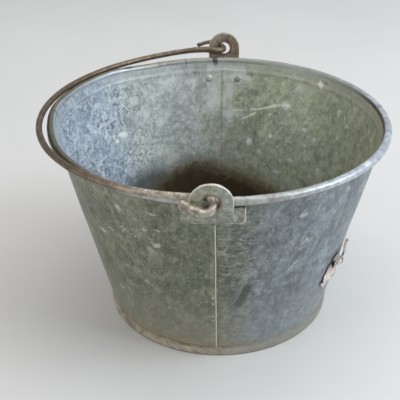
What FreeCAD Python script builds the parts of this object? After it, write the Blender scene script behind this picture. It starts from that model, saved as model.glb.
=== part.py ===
import FreeCAD, Part
import math
import os

from FreeCAD import Vector

# Flaring galvanised milk pail with a wire bail, lying along the rim.
# Millimetres, +Z up, the pail stands on z = 0, the ears are on the Y axis.

# ---- driving dimensions -------------------------------------------------
SHEET = 0.9                # sheet steel of the body and the bottom
SLOPE = math.radians(13.0)  # flare of the wall from the vertical
RIM_OUTER_R = 165.0        # outside of the rolled rim
RIM_Z = 200.0              # height of the centre of the rolled rim
WIRE_R = 2.95              # reinforcing wire inside the rim
CURL_R = 3.0               # inside radius of the curl round that wire
CURL_SWEEP = 292.0         # degrees the sheet wraps the wire

FOOT_R = 114.0             # outside radius of the straight foot of the wall
FOOT_Z0 = 1.3              # lower edge of the wall, inside the hem
PAN_Z = 7.0                # upper face of the recessed bottom
PAN_GAP = 0.3              # play between bottom pan and wall
PAN_BEND_R = 2.6           # bend from the bottom disc to its flange
HEM_TOP_Z = 8.2            # top of the hem on the outside of the foot
HEM_EDGE_R = 1.2           # rounding either side of the hem's worn flat foot

SEAM_HALF = 3.0            # half width of the grooved lock seam
SEAM_PITCH = 1.0           # distance between layers in the seam
SEAM_Z0 = 11.0
SEAM_Z1 = 173.0
BUTT_GAP = 0.05            # each panel stops this far from the seam plane

EAR_THICK = 3.2            # malleable ear
EAR_HALF = 17.5            # half width, and radius of the rounded top
EAR_HOLE_R = 6.75
PIVOT_Z = 209.5            # height of the bail holes
EAR_SHELF_Z = 190.0        # underside of the step below the rim
EAR_FACE_R = 177.2         # inner face of the ear at the height of the hole
EAR_LEAN = math.radians(7.5)
PLATE_HALF = 26.0          # half width of the riveted foot of the ear
PLATE_Z0 = 174.8
PLATE_Z1 = 193.0
PLATE_THICK = 2.4
PLATE_GAP = 0.1            # play between the foot of the ear and the wall

RIVET_X = 16.5
RIVET_Z = 182.0
RIVET_R = 2.4
RIVET_PLAY = 0.1
RIVET_HEAD_R = 4.3
RIVET_HEAD_H = 1.7
RIVET_INNER_R = 4.0
RIVET_INNER_H = 1.2

BAIL_R = 3.0               # bail wire

TAN = math.tan(SLOPE)
SIN = math.sin(SLOPE)
COS = math.cos(SLOPE)
BEAD_R = RIM_OUTER_R - CURL_R - SHEET     # radius of the rim wire's centre


# ---- small helpers ------------------------------------------------------
def rz(r, z):
    """A point of a profile, r outwards and z up, in the XZ plane."""
    return Vector(r, 0, z)


def revolve(edges, degrees=360.0, start=0.0):
    """Turn a closed profile about the pail's axis."""
    face = Part.Face(Part.Wire(edges))
    if start:
        face.rotate(Vector(0, 0, 0), Vector(0, 0, 1), start)
    return face.revolve(Vector(0, 0, 0), Vector(0, 0, 1), degrees)


def polygon(points):
    """Closed chain of straight edges through the points."""
    return [Part.makeLine(a, b)
            for a, b in zip(points, points[1:] + points[:1])]


def box(x0, x1, y0, y1, z0, z1):
    return Part.makeBox(x1 - x0, y1 - y0, z1 - z0, Vector(x0, y0, z0))


def one_solid(shape):
    """The single solid of a boolean result, cleaned of split faces."""
    shape = shape.removeSplitter()
    solids = sorted(shape.Solids, key=lambda s: s.Volume)
    return solids[-1]


def cone_r(z, offset=0.0):
    """Radius of the wall at height z, offset outwards along its normal
    from the outer face."""
    bead_side = BEAD_R - (CURL_R) * COS
    z_tangent = RIM_Z + CURL_R * SIN
    return bead_side - (z_tangent - z) * TAN + offset / COS


def cone_layer(inner, outer, z0, z1, centre_deg=0.0, half_deg=180.0):
    """A conical layer between two offsets from the wall's outer face."""
    profile = polygon([rz(cone_r(z0, inner), z0), rz(cone_r(z0, outer), z0),
                       rz(cone_r(z1, outer), z1), rz(cone_r(z1, inner), z1)])
    if half_deg >= 180.0:
        return revolve(profile)
    return revolve(profile, 2 * half_deg, centre_deg - half_deg)


# ---- wall ---------------------------------------------------------------
def wall_profile():
    """Section of the wall: straight foot, flaring side, curl at the rim."""
    ri, ro = CURL_R, CURL_R + SHEET
    centre = rz(BEAD_R, RIM_Z)

    def on_curl(radius, angle):
        return centre + rz(radius * math.cos(angle), radius * math.sin(angle))

    start = math.pi - SLOPE
    sweep = math.radians(CURL_SWEEP)
    middle = start - sweep / 2
    end = start - sweep

    # corner between foot and flare, on the outer and on the inner face
    z_out = RIM_Z + CURL_R * SIN - (cone_r(RIM_Z + CURL_R * SIN) - FOOT_R) / TAN
    foot_in = FOOT_R - SHEET
    z_in = z_out - SHEET * math.tan(SLOPE / 2)

    a = rz(foot_in, FOOT_Z0)
    b = rz(FOOT_R, FOOT_Z0)
    c = rz(FOOT_R, z_out)
    d = on_curl(ri, start)
    e = on_curl(ri, end)
    f = on_curl(ro, end)
    g = on_curl(ro, start)
    h = rz(foot_in, z_in)
    return [
        Part.makeLine(a, b), Part.makeLine(b, c), Part.makeLine(c, d),
        Part.Arc(d, on_curl(ri, middle), e).toShape(),
        Part.makeLine(e, f),
        Part.Arc(f, on_curl(ro, middle), g).toShape(),
        Part.makeLine(g, h), Part.makeLine(h, a),
    ]


def seam_part(x0, x1, layer0, layer1, centre_deg):
    """A strip of the lock seam, from x0 to x1 across it, spanning the
    layers layer0 to layer1 counted outwards from the wall."""
    strip = cone_layer(layer0 * SEAM_PITCH - SHEET, layer1 * SEAM_PITCH,
                       SEAM_Z0, SEAM_Z1, centre_deg, 6.0)
    return strip.common(box(x0, x1, -220, 220, 0, 230))


def body_panel():
    """The left half of the wall. Its front edge is the inner hook of the
    front seam, its back edge the outer hook of the back seam."""
    shell = revolve(wall_profile())
    far = 240.0
    lower = box(-far, -BUTT_GAP, -far, far, -5, SEAM_Z0)
    upper = box(-far, -BUTT_GAP, -far, far, SEAM_Z1, far)
    front = box(-far, SEAM_HALF - 0.1, -far, 0, SEAM_Z0, SEAM_Z1)
    back = box(-far, -SEAM_HALF - 0.2, 0, far, SEAM_Z0, SEAM_Z1)
    keep = lower.fuse([upper, front, back])
    panel = shell.common(keep)

    s = SEAM_HALF
    front_hook = [
        seam_part(s - 1.0, s - 0.1, 0, 2, -90),       # fold
        seam_part(-s + 1.1, s - 0.1, 2, 2, -90),      # turned-back lip
    ]
    back_hook = [
        seam_part(-s - 1.1, -s - 0.2, 0, 3, 90),      # step out of the wall
        seam_part(-s - 1.1, s, 3, 3, 90),             # cover layer
        seam_part(s - 0.9, s, 1, 3, 90),              # fold
        seam_part(-s + 1.2, s, 1, 1, 90),             # lip gripped inside
    ]
    panel = panel.fuse(front_hook + back_hook)

    for sign in (-1, 1):
        panel = panel.cut(rivet_cylinder(-1, sign, RIVET_R + RIVET_PLAY,
                                         -6, 12))
    return one_solid(panel)


# ---- bottom -------------------------------------------------------------
def bottom_pan():
    """Recessed disc, flange inside the foot, hem folded up outside it."""
    inner_out = FOOT_R - SHEET - PAN_GAP         # flange, outer face
    inner_in = inner_out - SHEET
    hem_in = FOOT_R + PAN_GAP
    hem_out = hem_in + SHEET
    r_bend = (hem_out - inner_in) / 2            # hem, outside radius
    mid = (hem_out + inner_in) / 2
    r_in = r_bend - SHEET
    top = PAN_Z
    low = PAN_Z - SHEET
    b_out = PAN_BEND_R + SHEET
    b_in = PAN_BEND_R
    k = math.sqrt(0.5)
    e = HEM_EDGE_R
    bend = rz(inner_out - b_out, top - b_out)    # centre of the disc's bend
    hem = rz(mid, r_bend)                        # centre of the hem's bend
    p = [
        rz(0, low), rz(0, top), rz(inner_out - b_out, top),
        rz(inner_out, top - b_out), rz(inner_out, r_bend),
        rz(hem_in, r_bend), rz(hem_in, HEM_TOP_Z), rz(hem_out, HEM_TOP_Z),
        rz(hem_out, e), rz(hem_out - e, 0), rz(inner_in + e, 0),
        rz(inner_in, e), rz(inner_in, low - b_in),
        rz(inner_out - b_out, low),
    ]
    edges = [
        Part.makeLine(p[0], p[1]), Part.makeLine(p[1], p[2]),
        Part.Arc(p[2], bend + rz(b_out * k, b_out * k), p[3]).toShape(),
        Part.makeLine(p[3], p[4]),
        Part.Arc(p[4], hem + rz(0, -r_in), p[5]).toShape(),
        Part.makeLine(p[5], p[6]), Part.makeLine(p[6], p[7]),
        Part.makeLine(p[7], p[8]),
        Part.Arc(p[8], rz(hem_out - e + e * k, e - e * k), p[9]).toShape(),
        Part.makeLine(p[9], p[10]),
        Part.Arc(p[10], rz(inner_in + e - e * k, e - e * k), p[11]).toShape(),
        Part.makeLine(p[11], p[12]),
        Part.Arc(p[12], bend + rz(b_in * k, b_in * k), p[13]).toShape(),
        Part.makeLine(p[13], p[0]),
    ]
    return one_solid(revolve(edges))


# ---- rim ----------------------------------------------------------------
def rim_wire():
    """Round wire the top of the wall is rolled over."""
    return Part.makeTorus(BEAD_R, WIRE_R, Vector(0, 0, RIM_Z))


# ---- ears and rivets ----------------------------------------------------
def rivet_frame(side_x, side_y):
    """Point on the wall's outer face and the direction square to it."""
    x = side_x * RIVET_X
    y = side_y * math.sqrt(cone_r(RIVET_Z) ** 2 - x * x)
    point = Vector(x, y, RIVET_Z)
    flat = Vector(x, y, 0).normalize()
    return point, (flat * COS + Vector(0, 0, -SIN)).normalize()


def rivet_cylinder(side_x, side_y, radius, start, end):
    point, out = rivet_frame(side_x, side_y)
    return Part.makeCylinder(radius, end - start, point + out * start, out)


def rivet(side_x, side_y):
    """Shank with a low dome outside and a flatter one inside."""
    h_out = PLATE_GAP + PLATE_THICK + 0.1
    h_in = -SHEET - 0.12
    ro, ho = RIVET_HEAD_R, RIVET_HEAD_H
    ra, ha = RIVET_INNER_R, RIVET_INNER_H
    k, flat = 0.66, 0.7
    p = [rz(0, h_in - ha), rz(flat, h_in - ha), rz(ra * k, h_in - ha * 0.74),
         rz(ra, h_in), rz(RIVET_R, h_in), rz(RIVET_R, h_out), rz(ro, h_out),
         rz(ro * k, h_out + ho * 0.74), rz(flat, h_out + ho),
         rz(0, h_out + ho)]
    edges = [
        Part.makeLine(p[0], p[1]),
        Part.Arc(p[1], p[2], p[3]).toShape(),
        Part.makeLine(p[3], p[4]), Part.makeLine(p[4], p[5]),
        Part.makeLine(p[5], p[6]),
        Part.Arc(p[6], p[7], p[8]).toShape(),
        Part.makeLine(p[8], p[9]), Part.makeLine(p[9], p[0]),
    ]
    solid = revolve(edges).Solids[0]
    point, out = rivet_frame(side_x, side_y)
    turn = FreeCAD.Rotation(Vector(0, 0, 1), out)
    solid.Placement = FreeCAD.Placement(point, turn)
    return solid


def ear():
    """Front ear: riveted foot, step out below the rim, rounded lug with
    the bail hole. Built looking along -Y, the outside of the pail."""
    lean = math.tan(EAR_LEAN)
    top_z = PIVOT_Z + EAR_HALF + 1.0
    shelf_top = EAR_SHELF_Z + EAR_THICK

    def face_r(z, offset=0.0):
        return EAR_FACE_R + (z - PIVOT_Z) * lean + offset

    root = cone_r(EAR_SHELF_Z, PLATE_GAP + PLATE_THICK * 0.5)
    outline = [
        (root, EAR_SHELF_Z), (face_r(EAR_SHELF_Z, EAR_THICK), EAR_SHELF_Z),
        (face_r(top_z, EAR_THICK), top_z), (face_r(top_z), top_z),
        (face_r(shelf_top), shelf_top), (root, shelf_top),
    ]
    points = [Vector(-EAR_HALF - 5, -r, z) for r, z in outline]
    strap = Part.Face(Part.Wire(polygon(points)))
    strap = strap.extrude(Vector(2 * EAR_HALF + 10, 0, 0))

    def bend_edges(shape, r, z):
        return [e for e in shape.Edges
                if abs(e.Length - (2 * EAR_HALF + 10)) < 0.01
                and abs(e.CenterOfMass.y + r) < 0.01
                and abs(e.CenterOfMass.z - z) < 0.01]

    strap = strap.makeFillet(
        2.0, bend_edges(strap, face_r(shelf_top), shelf_top))
    strap = strap.makeFillet(
        4.6, bend_edges(strap, face_r(EAR_SHELF_Z, EAR_THICK), EAR_SHELF_Z))

    # arch-shaped outline seen from outside
    arch = box(-EAR_HALF, EAR_HALF, -200, -140, EAR_SHELF_Z - 1, PIVOT_Z)
    crown = Part.makeCylinder(EAR_HALF, 60, Vector(0, -200, PIVOT_Z),
                              Vector(0, 1, 0))
    lug = strap.common(arch.fuse(crown).removeSplitter())
    lug = one_solid(lug)

    foot = cone_layer(PLATE_GAP, PLATE_GAP + PLATE_THICK, PLATE_Z0, PLATE_Z1,
                      -90, 14.0)
    foot = foot.common(box(-PLATE_HALF, PLATE_HALF, -220, 0, 150, 215))
    foot = round_corners(one_solid(foot))

    whole = one_solid(lug.fuse(foot))
    hole = Part.makeCylinder(EAR_HOLE_R, 60, Vector(0, -205, PIVOT_Z),
                             Vector(0, 1, 0))
    whole = whole.cut(hole)
    for side in (-1, 1):
        whole = whole.cut(rivet_cylinder(side, -1, RIVET_R + RIVET_PLAY,
                                         -6, 6))
    return one_solid(soften(one_solid(whole)))


def round_corners(foot):
    """Round the four corners of the riveted foot, seen from outside."""
    corners = [e for e in foot.Edges
               if abs(e.CenterOfMass.x) > PLATE_HALF - 0.5
               and 1.0 < e.Length < PLATE_THICK * 1.6]
    try:
        return foot.makeFillet(4.0, corners)
    except Exception:
        return foot


def soften(shape):
    """Break the sharp edges of the lug's outline and of its hole."""
    picked = []
    for e in shape.Edges:
        c = e.CenterOfMass
        if c.z > PIVOT_Z - 9 and e.Length > 20:
            picked.append(e)
    for radius in (0.8, 0.5):
        try:
            rounded = shape.makeFillet(radius, picked)
            if rounded.isValid() and rounded.Solids:
                return rounded
        except Exception:
            continue
    return shape


# ---- bail ---------------------------------------------------------------
# One end of the bail from the tip of its hook to where it joins the loop:
# x along the rim, r from the pail's axis, h above the rim wire's centre.
HOOK = [
    (-23.0, 187.4, 11.6), (-17.8, 187.7, 8.9), (-12.2, 187.8, 6.4),
    (-6.8, 187.3, 4.6), (-2.2, 185.7, 4.3), (0.9, 182.9, 5.9),
    (2.0, 179.0, 7.7), (1.4, 175.2, 8.8), (-1.3, 172.1, 9.2),
    (-6.2, 170.2, 9.1),
]

# Loop of the bail: bearing from -X towards the back ear, radius, height
# above the rim wire's centre.
LOOP = [
    (-84.5, 169.9, 8.7), (-79, 169.9, 8.1), (-72, 169.8, 7.3),
    (-64, 170.0, 6.7), (-54, 170.6, 6.3), (-42, 171.4, 6.3),
    (-28, 172.2, 6.3), (-14, 172.2, 6.3), (0, 171.6, 6.3),
    (14, 170.8, 6.3), (28, 170.2, 6.3), (42, 170.2, 6.5),
    (54, 170.4, 7.0), (64, 170.6, 8.0), (72, 170.6, 9.4),
    (79, 170.4, 10.6), (84.5, 170.2, 10.4),
]


def bail():
    """One wire: hook, loop, hook."""
    front = [Vector(x, -math.sqrt(r * r - x * x), RIM_Z + h)
             for x, r, h in HOOK]
    back = [Vector(v.x, -v.y, v.z) for v in reversed(front)]
    loop = []
    for bearing, r, h in LOOP:
        a = math.radians(bearing)
        loop.append(Vector(-r * math.cos(a), r * math.sin(a), RIM_Z + h))
    points = front + loop + back
    curve = Part.BSplineCurve()
    curve.interpolate(points)
    spine = Part.Wire([curve.toShape()])

    first, last = curve.FirstParameter, curve.LastParameter
    direction = curve.tangent(first)[0]
    ring = Part.Wire([Part.makeCircle(BAIL_R, points[0], direction)])
    wire = spine.makePipeShell([ring], True, False)

    # cut ends, worn round
    ends = []
    for parameter in (first, last):
        tip = curve.value(parameter)
        ends.append(Part.makeSphere(BAIL_R - 0.02, tip))
    return one_solid(wire.fuse(ends))


# ---- all pieces ---------------------------------------------------------
def turned(shape):
    """The same piece on the opposite side of the pail."""
    copy = shape.copy()
    copy.rotate(Vector(0, 0, 0), Vector(0, 0, 1), 180)
    return copy


def main():
    left = body_panel()
    front_ear = ear()
    pieces = {
        "body_panel_left": left,
        "body_panel_right": turned(left),
        "bottom_pan": bottom_pan(),
        "rim_wire": rim_wire(),
        "ear_front": front_ear,
        "ear_back": turned(front_ear),
        "rivet_front_left": rivet(-1, -1),
        "rivet_front_right": rivet(1, -1),
        "rivet_back_left": rivet(-1, 1),
        "rivet_back_right": rivet(1, 1),
        "bail": bail(),
    }
    os.makedirs("parts", exist_ok=True)
    for name, shape in pieces.items():
        shape.exportStep("parts/" + name + ".step")
        print(name, len(shape.Solids), shape.isValid(),
              round(shape.Volume, 1))


main()
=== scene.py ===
import math

import bmesh
import bpy
import numpy as np
from mathutils import Matrix, Vector, noise


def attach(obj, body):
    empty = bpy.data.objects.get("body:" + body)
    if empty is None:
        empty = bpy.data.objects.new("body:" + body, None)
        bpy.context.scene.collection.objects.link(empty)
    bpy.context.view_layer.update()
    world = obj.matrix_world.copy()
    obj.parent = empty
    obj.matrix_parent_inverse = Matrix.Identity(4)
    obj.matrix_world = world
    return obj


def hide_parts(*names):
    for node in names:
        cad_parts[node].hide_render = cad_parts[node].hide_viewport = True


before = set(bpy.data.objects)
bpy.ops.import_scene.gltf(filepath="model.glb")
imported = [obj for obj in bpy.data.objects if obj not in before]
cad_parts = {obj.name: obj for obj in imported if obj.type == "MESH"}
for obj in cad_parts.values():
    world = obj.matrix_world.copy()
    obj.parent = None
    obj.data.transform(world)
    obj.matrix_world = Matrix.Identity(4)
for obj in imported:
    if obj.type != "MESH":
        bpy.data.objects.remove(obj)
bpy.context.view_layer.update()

# Galvanised milk pail. It stands on z = 0 with its ears on the Y axis, and the
# bail lies towards -X. A bearing of 0 is the front seam (-Y), 90 is +X.
# Meshes are worked out in millimetres and stored in metres.

MM = 0.001
SHEET = 0.9
SLOPE = math.radians(13.0)
TAN, COS, SIN = math.tan(SLOPE), math.cos(SLOPE), math.sin(SLOPE)
RIM_R = 165.0
RIM_Z = 200.0
CURL_R = 3.0
BEAD_R = RIM_R - CURL_R - SHEET
FOOT_R = 114.0
Z_TANGENT = RIM_Z + CURL_R * SIN
R_TANGENT = BEAD_R - CURL_R * COS
PIVOT_Z = 209.5
BOTTOM_Z = 7.0
# The rim has been knocked out of true on the left, towards the back.
RIM_PUSH = 3.0
RIM_LIFT = 2.5


# ---- numbers ------------------------------------------------------------
def plain(values):
    return values if np.ndim(values) else float(values)


def smooth(a, b, x):
    """0 at a and beyond it, 1 at b and beyond it, and a soft step between."""
    t = np.clip((np.asarray(x, float) - a) / (b - a), 0.0, 1.0)
    return plain(t * t * (3 - 2 * t))


def wrap(deg):
    return plain((np.asarray(deg, float) + 180.0) % 360.0 - 180.0)


def between(a, b, t):
    return tuple(p + t * (q - p) for p, q in zip(a, b))


def cone_r(z, offset=0.0):
    """Radius of the wall's outer face at height z."""
    return R_TANGENT - (Z_TANGENT - z) * TAN + offset / COS


def around(r, bearing, z):
    a = math.radians(bearing)
    return Vector((r * math.sin(a), -r * math.cos(a), z))


def off_wall(r, bearing, z, high):
    """The point that stands high off the wall's point at (r, bearing, z)."""
    return around(r + high * COS, bearing, z - high * SIN)


def turn_steps(count, whole=2 * math.pi):
    return [whole * i / count for i in range(count)]


def value_noise(p, size, octaves, seed):
    """Smooth noise in -1..1 with features of about size millimetres."""
    q = Vector((p[0] / size + seed, p[1] / size - seed, p[2] / size + 2 * seed))
    return noise.fractal(q, 0.9, 2.1, octaves, noise_basis='PERLIN_ORIGINAL')


def rim_warp(bearing, z):
    """0..1, how much of the knock in the rim is felt here."""
    b = wrap(bearing)
    return smooth(-150.0, -130.0, b) * smooth(-72.0, -99.0, b) * smooth(60.0, 200.0, z)


def dent(bearing, z):
    """How far the wall stands out from a true cone, in millimetres."""
    p = around(cone_r(z), bearing, z)
    d = 0.55 * value_noise(p, 95.0, 2, 3.1) + 0.22 * value_noise(p, 34.0, 2, 7.7)
    from_seam = min(abs(wrap(bearing)), abs(wrap(bearing - 180.0)))
    # true beside the seams, over a wider stretch at the ears
    free = smooth(11.0, 22.0, from_seam) if z > 165 else smooth(1.5, 7.0, from_seam)
    ends = smooth(8.0, 30.0, z) * (1.0 - 0.6 * smooth(185.0, 200.0, z))
    return d * free * ends + RIM_PUSH * rim_warp(bearing, z)


# ---- meshes -------------------------------------------------------------
def add_object(name, data):
    obj = bpy.data.objects.new(name, data)
    bpy.context.scene.collection.objects.link(obj)
    return obj


def set_smooth(mesh, smooth_faces=True):
    mesh.polygons.foreach_set("use_smooth", [smooth_faces] * len(mesh.polygons))


def make_object(name, verts, faces):
    mesh = bpy.data.meshes.new(name)
    mesh.from_pydata([tuple(c * MM for c in v) for v in verts], [], faces)
    set_smooth(mesh)
    mesh.update()
    return add_object(name, mesh)


def add_float(obj, name, values):
    attribute = obj.data.attributes.new(name, 'FLOAT', 'POINT')
    attribute.data.foreach_set("value", np.asarray(values, np.float32))


def fix_normals(obj):
    bm = bmesh.new()
    bm.from_mesh(obj.data)
    bmesh.ops.recalc_face_normals(bm, faces=bm.faces)
    bm.to_mesh(obj.data)
    bm.free()


def soften(bm, factor):
    bmesh.ops.smooth_vert(bm, verts=bm.verts, factor=factor,
                          use_axis_x=True, use_axis_y=True, use_axis_z=True)


def make_tube(name, rings, closed=False):
    """Skin a row of rings of points; an open tube gets two end caps."""
    count, total = len(rings[0]), len(rings)
    faces = []
    for k in range(total if closed else total - 1):
        a, b = k * count, (k + 1) % total * count
        for i in range(count):
            j = (i + 1) % count
            faces.append((a + i, a + j, b + j, b + i))
    if not closed:
        last = (total - 1) * count
        faces.append(tuple(range(count)))
        faces.append(tuple(reversed(range(last, last + count))))
    obj = make_object(name, [p for ring in rings for p in ring], faces)
    fix_normals(obj)
    return obj


def sheet_strip(a, n, count):
    """Both faces of a sheet between two columns of point pairs, and its top edge."""
    faces = []
    for i in range(0, 2 * count - 2, 2):
        faces.append((a + i, n + i, n + i + 2, a + i + 2))
        faces.append((a + i + 1, a + i + 3, n + i + 3, n + i + 1))
    top = 2 * count - 2
    faces.append((a + top, n + top, n + top + 1, a + top + 1))
    return faces


# ---- paint masks on the wall --------------------------------------------
# Patches: bearing and height of the middle, half width and height, strength.
PALE_INSIDE = [
    (-130, 136, 5.2, 3.4, 1.0), (-126, 132, 3.2, 2.3, 0.9), (-150, 138, 6, 7, 0.7),
    (136, 192, 4, 5.0, 1.0), (-166, 178, 12, 10, 0.55), (-157, 184, 9, 6, 0.5),
    (167, 112, 4, 5.5, 1.0), (139, 139, 3, 2.5, 0.9), (133, 133, 2.5, 3, 0.8),
    (138, 122, 6, 3, 0.6), (123, 173, 4, 7, 0.65), (116, 164, 3, 3, 0.8),
    (151, 159, 7, 5, 0.85), (173, 184, 14, 9, 0.74), (177, 168, 6, 12, 0.70),
    (177, 140, 7, 12, 0.68), (184, 158, 9, 26, 0.58), (127, 103, 6, 3, 0.65),
    (146, 180, 10, 8, 0.5), (156, 122, 3, 4, 0.6), (-165, 98, 4, 3, 0.6),
    (-148, 104, 3.5, 3, 0.6), (-139, 168, 9, 8, 0.6), (-144, 150, 8, 12, 0.5),
    (-119, 176, 12, 6, 0.6), (144, 101, 9, 3.5, 0.55), (120, 150, 4, 12, 0.5),
    (152, 83, 12, 4, 0.5), (172, 96, 9, 5, 0.45),
]
DARK_INSIDE = [(166, 168, 11, 8, 1.1), (186, 124, 8, 14, 0.35), (128, 152, 10, 14, 0.35)]
PALE_OUTSIDE = [
    (-33, 173, 5, 4, 0.8), (-46, 132, 5, 3, 0.9), (-20, 140, 7, 5, 0.7),
    (-12, 152, 11, 7, 0.5), (-24, 156, 8, 4, 0.6), (30, 172, 8, 6, 0.65),
    (35, 138, 10, 5, 0.6), (49, 180, 8, 8, 0.5), (-50, 118, 7, 7, 0.5),
    (-0.2, 83, 1.3, 2.0, 1.0), (-0.2, 75, 1.1, 1.4, 1.0), (-0.2, 58, 1.3, 1.4, 1.0),
    (-0.1, 52, 1.3, 1.3, 0.9), (-3.1, 75, 1.3, 1.4, 0.8), (0.7, 25, 1.4, 1.4, 0.8),
    (-28, 88, 6, 4, 0.6), (-37, 100, 7, 4, 0.6), (-46, 60, 7, 5, 0.6),
    (-20, 60, 6, 4, 0.55), (-20, 176, 8, 3, 0.6), (20, 60, 9, 12, 0.4),
]
# Straight-edged light stretches of zinc beside the back seam: first and
# last bearing, lowest and highest point, strength.
FLATS_INSIDE = [
    (181.0, 186.8, 149, 198, 0.9), (170.5, 180.2, 182, 197, 0.85),
    (170.5, 180.2, 139, 149, 0.8), (175.5, 180.2, 149, 166, 0.55),
]
# Strokes: start (bearing, height), end, half width, strength.
PALE_STROKES_INSIDE = [
    (176, 146, 170, 147.5, 1.2, 0.9), (167, 149, 162, 151, 1.5, 1.0),
    (172, 136, 168, 141, 1.4, 0.8), (168, 141, 165, 145, 1.9, 0.9),
    (161, 152, 156, 157, 2.0, 1.0), (156, 157, 150, 160, 2.6, 0.8),
    (180, 124, 174, 134, 1.0, 0.5), (158, 128, 152, 130, 1.0, 0.5),
    (129, 106, 122, 99, 1.4, 0.6), (140, 150, 138, 153, 1.4, 0.7),
    (119, 171, 117, 160, 1.2, 0.6), (-168, 78, -160, 80, 1.2, 0.6),
    (-131.5, 135.5, -128.5, 137, 2.4, 1.4), (-126.5, 131.5, -125.2, 132.5, 1.8, 1.3),
    (167.3, 110.5, 166.7, 114, 1.9, 1.2), (162, 101, 161.6, 105, 0.9, 1.0),
    (136.5, 194, 135.8, 190, 2.6, 1.0), (157, 121, 156.4, 123, 1.4, 1.0),
]
DARK_STROKES_INSIDE = [
    (106, 186, 107, 165, 0.7, 0.7), (107, 165, 105, 139, 0.9, 1.0),
    (118, 192, 116, 184, 1.0, 0.9), (180, 148, 176, 146, 0.8, 0.8),
    (179, 137, 176, 136, 0.7, 0.7), (-172, 176, -164, 160, 0.8, 0.5),
    (136, 196, 133, 195, 1.4, 0.8), (180.6, 190, 180.6, 60, 0.9, 0.8),
    (-164.3, 196, -164.3, 206, 0.9, 1.0), (-176.6, 199, -176.2, 206, 3.6, 1.0),
    # the level stroke at the back left, just under the bead, is a painted shadow line
    (-171, 195.5, -160, 195, 0.9, 0.6), (-141, 204, -138, 204, 1.4, 1.0),
    (-90.5, 196, -90.5, 205, 0.8, 1.0), (-101, 196, -99, 200, 1.0, 0.9),
]
PALE_STROKES_OUTSIDE = [
    (29, 105, 31, 110, 0.8, 1.0), (31, 112, 33, 115, 0.8, 0.9),
    (30, 133, 34, 136, 0.9, 0.6), (29, 172, 31, 177, 1.0, 0.6),
    (46, 170, 46.6, 174, 0.7, 0.9), (-34, 150, -27, 143, 0.9, 0.8),
    (-44, 144, -39, 140, 0.8, 0.8), (-24, 160, -17, 157, 0.9, 0.7),
    (-30, 112, -24, 106, 0.8, 0.6), (-16, 122, -11, 119, 0.9, 0.5),
    (-38, 78, -31, 70, 0.9, 0.7),
]
DARK_STROKES_OUTSIDE = [
    (22, 150, 25, 126, 0.8, 0.6), (25, 126, 29, 108, 0.8, 0.6),
    (7, 66, 6.4, 56, 0.9, 0.7), (9, 67, 8.6, 58, 0.8, 0.7),
    (28, 96, 30, 84, 0.8, 0.5), (46, 147, 48, 145, 1.0, 0.9),
]
RUB_ARC, RUB_Z = 27.0, 83.0


def patches(items, bearing, z):
    """Soft ovals, the strongest where they overlap."""
    total = np.zeros_like(z)
    for b0, z0, w, h, strength in items:
        arc = np.radians(wrap(bearing - b0)) * cone_r(z)
        spread = (arc / w) ** 2 + ((z - z0) / h) ** 2
        total = np.maximum(total, strength * np.exp(-0.8 * spread))
    return total


def stretches(items, bearing, z):
    total = np.zeros_like(z)
    for first, last, low, high, strength in items:
        half = (last - first) / 2
        away = np.abs(wrap(bearing - (first + last) / 2))
        level = smooth(low - 1.0, low + 1.5, z) * smooth(high + 1.0, high - 1.5, z)
        total = np.maximum(total, strength * smooth(half + 0.5, half - 0.3, away) * level)
    return total


def strokes(items, bearing, z):
    total = np.zeros_like(z)
    for b0, z0, b1, z1, half, strength in items:
        arc = np.radians(wrap(bearing - b0)) * cone_r(z)
        run = math.radians(wrap(b1 - b0)) * cone_r((z0 + z1) / 2)
        climb = z1 - z0
        t = np.clip((arc * run + (z - z0) * climb) / (run ** 2 + climb ** 2), 0.0, 1.0)
        away = np.hypot(arc - t * run, z - z0 - t * climb)
        total = np.maximum(total, strength * np.exp(-(away / half) ** 2))
    return total


def bulge(bearing, centre, width):
    return np.exp(-(wrap(bearing - centre) / width) ** 2)


def paint_wall(obj, bearings, heights, inside):
    """Store the masks that the zinc materials read at each point."""
    b, z = wrap(bearings), np.asarray(heights)
    right = np.sin(np.radians(b))            # +1 towards +X
    arc = np.radians(b) * cone_r(z)
    dark_inside = np.maximum(strokes(DARK_STROKES_INSIDE, b, z),
                             patches(DARK_INSIDE, b, z) * 0.6)
    # short wavy brush marks beside the front seam
    ripple = smooth(1.5, 4.0, arc) * smooth(62.0, 22.0, arc) * smooth(60.0, 118.0, z)
    # rust, partly painted shade, pooled at the back near the bottom, and all round lower down
    rust_top = 58.0 + 30.0 * bulge(b, 198.0, 19.0) + 14.0 * bulge(b, 172.0, 24.0)
    # painted shade inside towards the bottom, reaching higher at the back left
    painted_shade_top = 60.0 + 36.0 * bulge(b, -140.0, 24.0)
    # dark rub mark beside the front seam, leaning to the right
    along = (arc - RUB_ARC) * 0.35 + (z - RUB_Z) * 0.94
    across = (arc - RUB_ARC) * 0.94 - (z - RUB_Z) * 0.35
    rub = smooth(21.0, 10.0, np.abs(along)) * smooth(7.0, 1.5, np.abs(across))
    masks = {                                # name: inside, outside
        # painted reflection: 1 where the wall takes the greenish colour of the warm surroundings, 0
        # where it takes the bluish sky light; inside, the lit left side is bluish
        "olive_reflection": (0.60 * smooth(-0.92, -0.58, right) + 0.40 * smooth(-0.45, 0.35, right),
                  smooth(0.42, -0.02, right)),
        "pale": (patches(PALE_INSIDE, b, z), patches(PALE_OUTSIDE, b, z)),
        "scratch": (strokes(PALE_STROKES_INSIDE, b, z), strokes(PALE_STROKES_OUTSIDE, b, z)),
        "marks_and_shadow": (dark_inside, strokes(DARK_STROKES_OUTSIDE, b, z)),
        "flat": (stretches(FLATS_INSIDE, b, z), 0.0),
        "crackle": ((smooth(-0.36, -0.86, right) * 0.76 + 0.24) * smooth(60.0, 105.0, z), ripple),
        "rust": (smooth(22.0, -32.0, z - rust_top), smooth(26.0, 4.0, z)),
        # dark: painted shade inside, the rub mark outside
        "dark": (smooth(14.0, -26.0, z - painted_shade_top), rub),
    }
    for name, (within, without) in masks.items():
        add_float(obj, name, np.where(inside, within, without))


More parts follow.
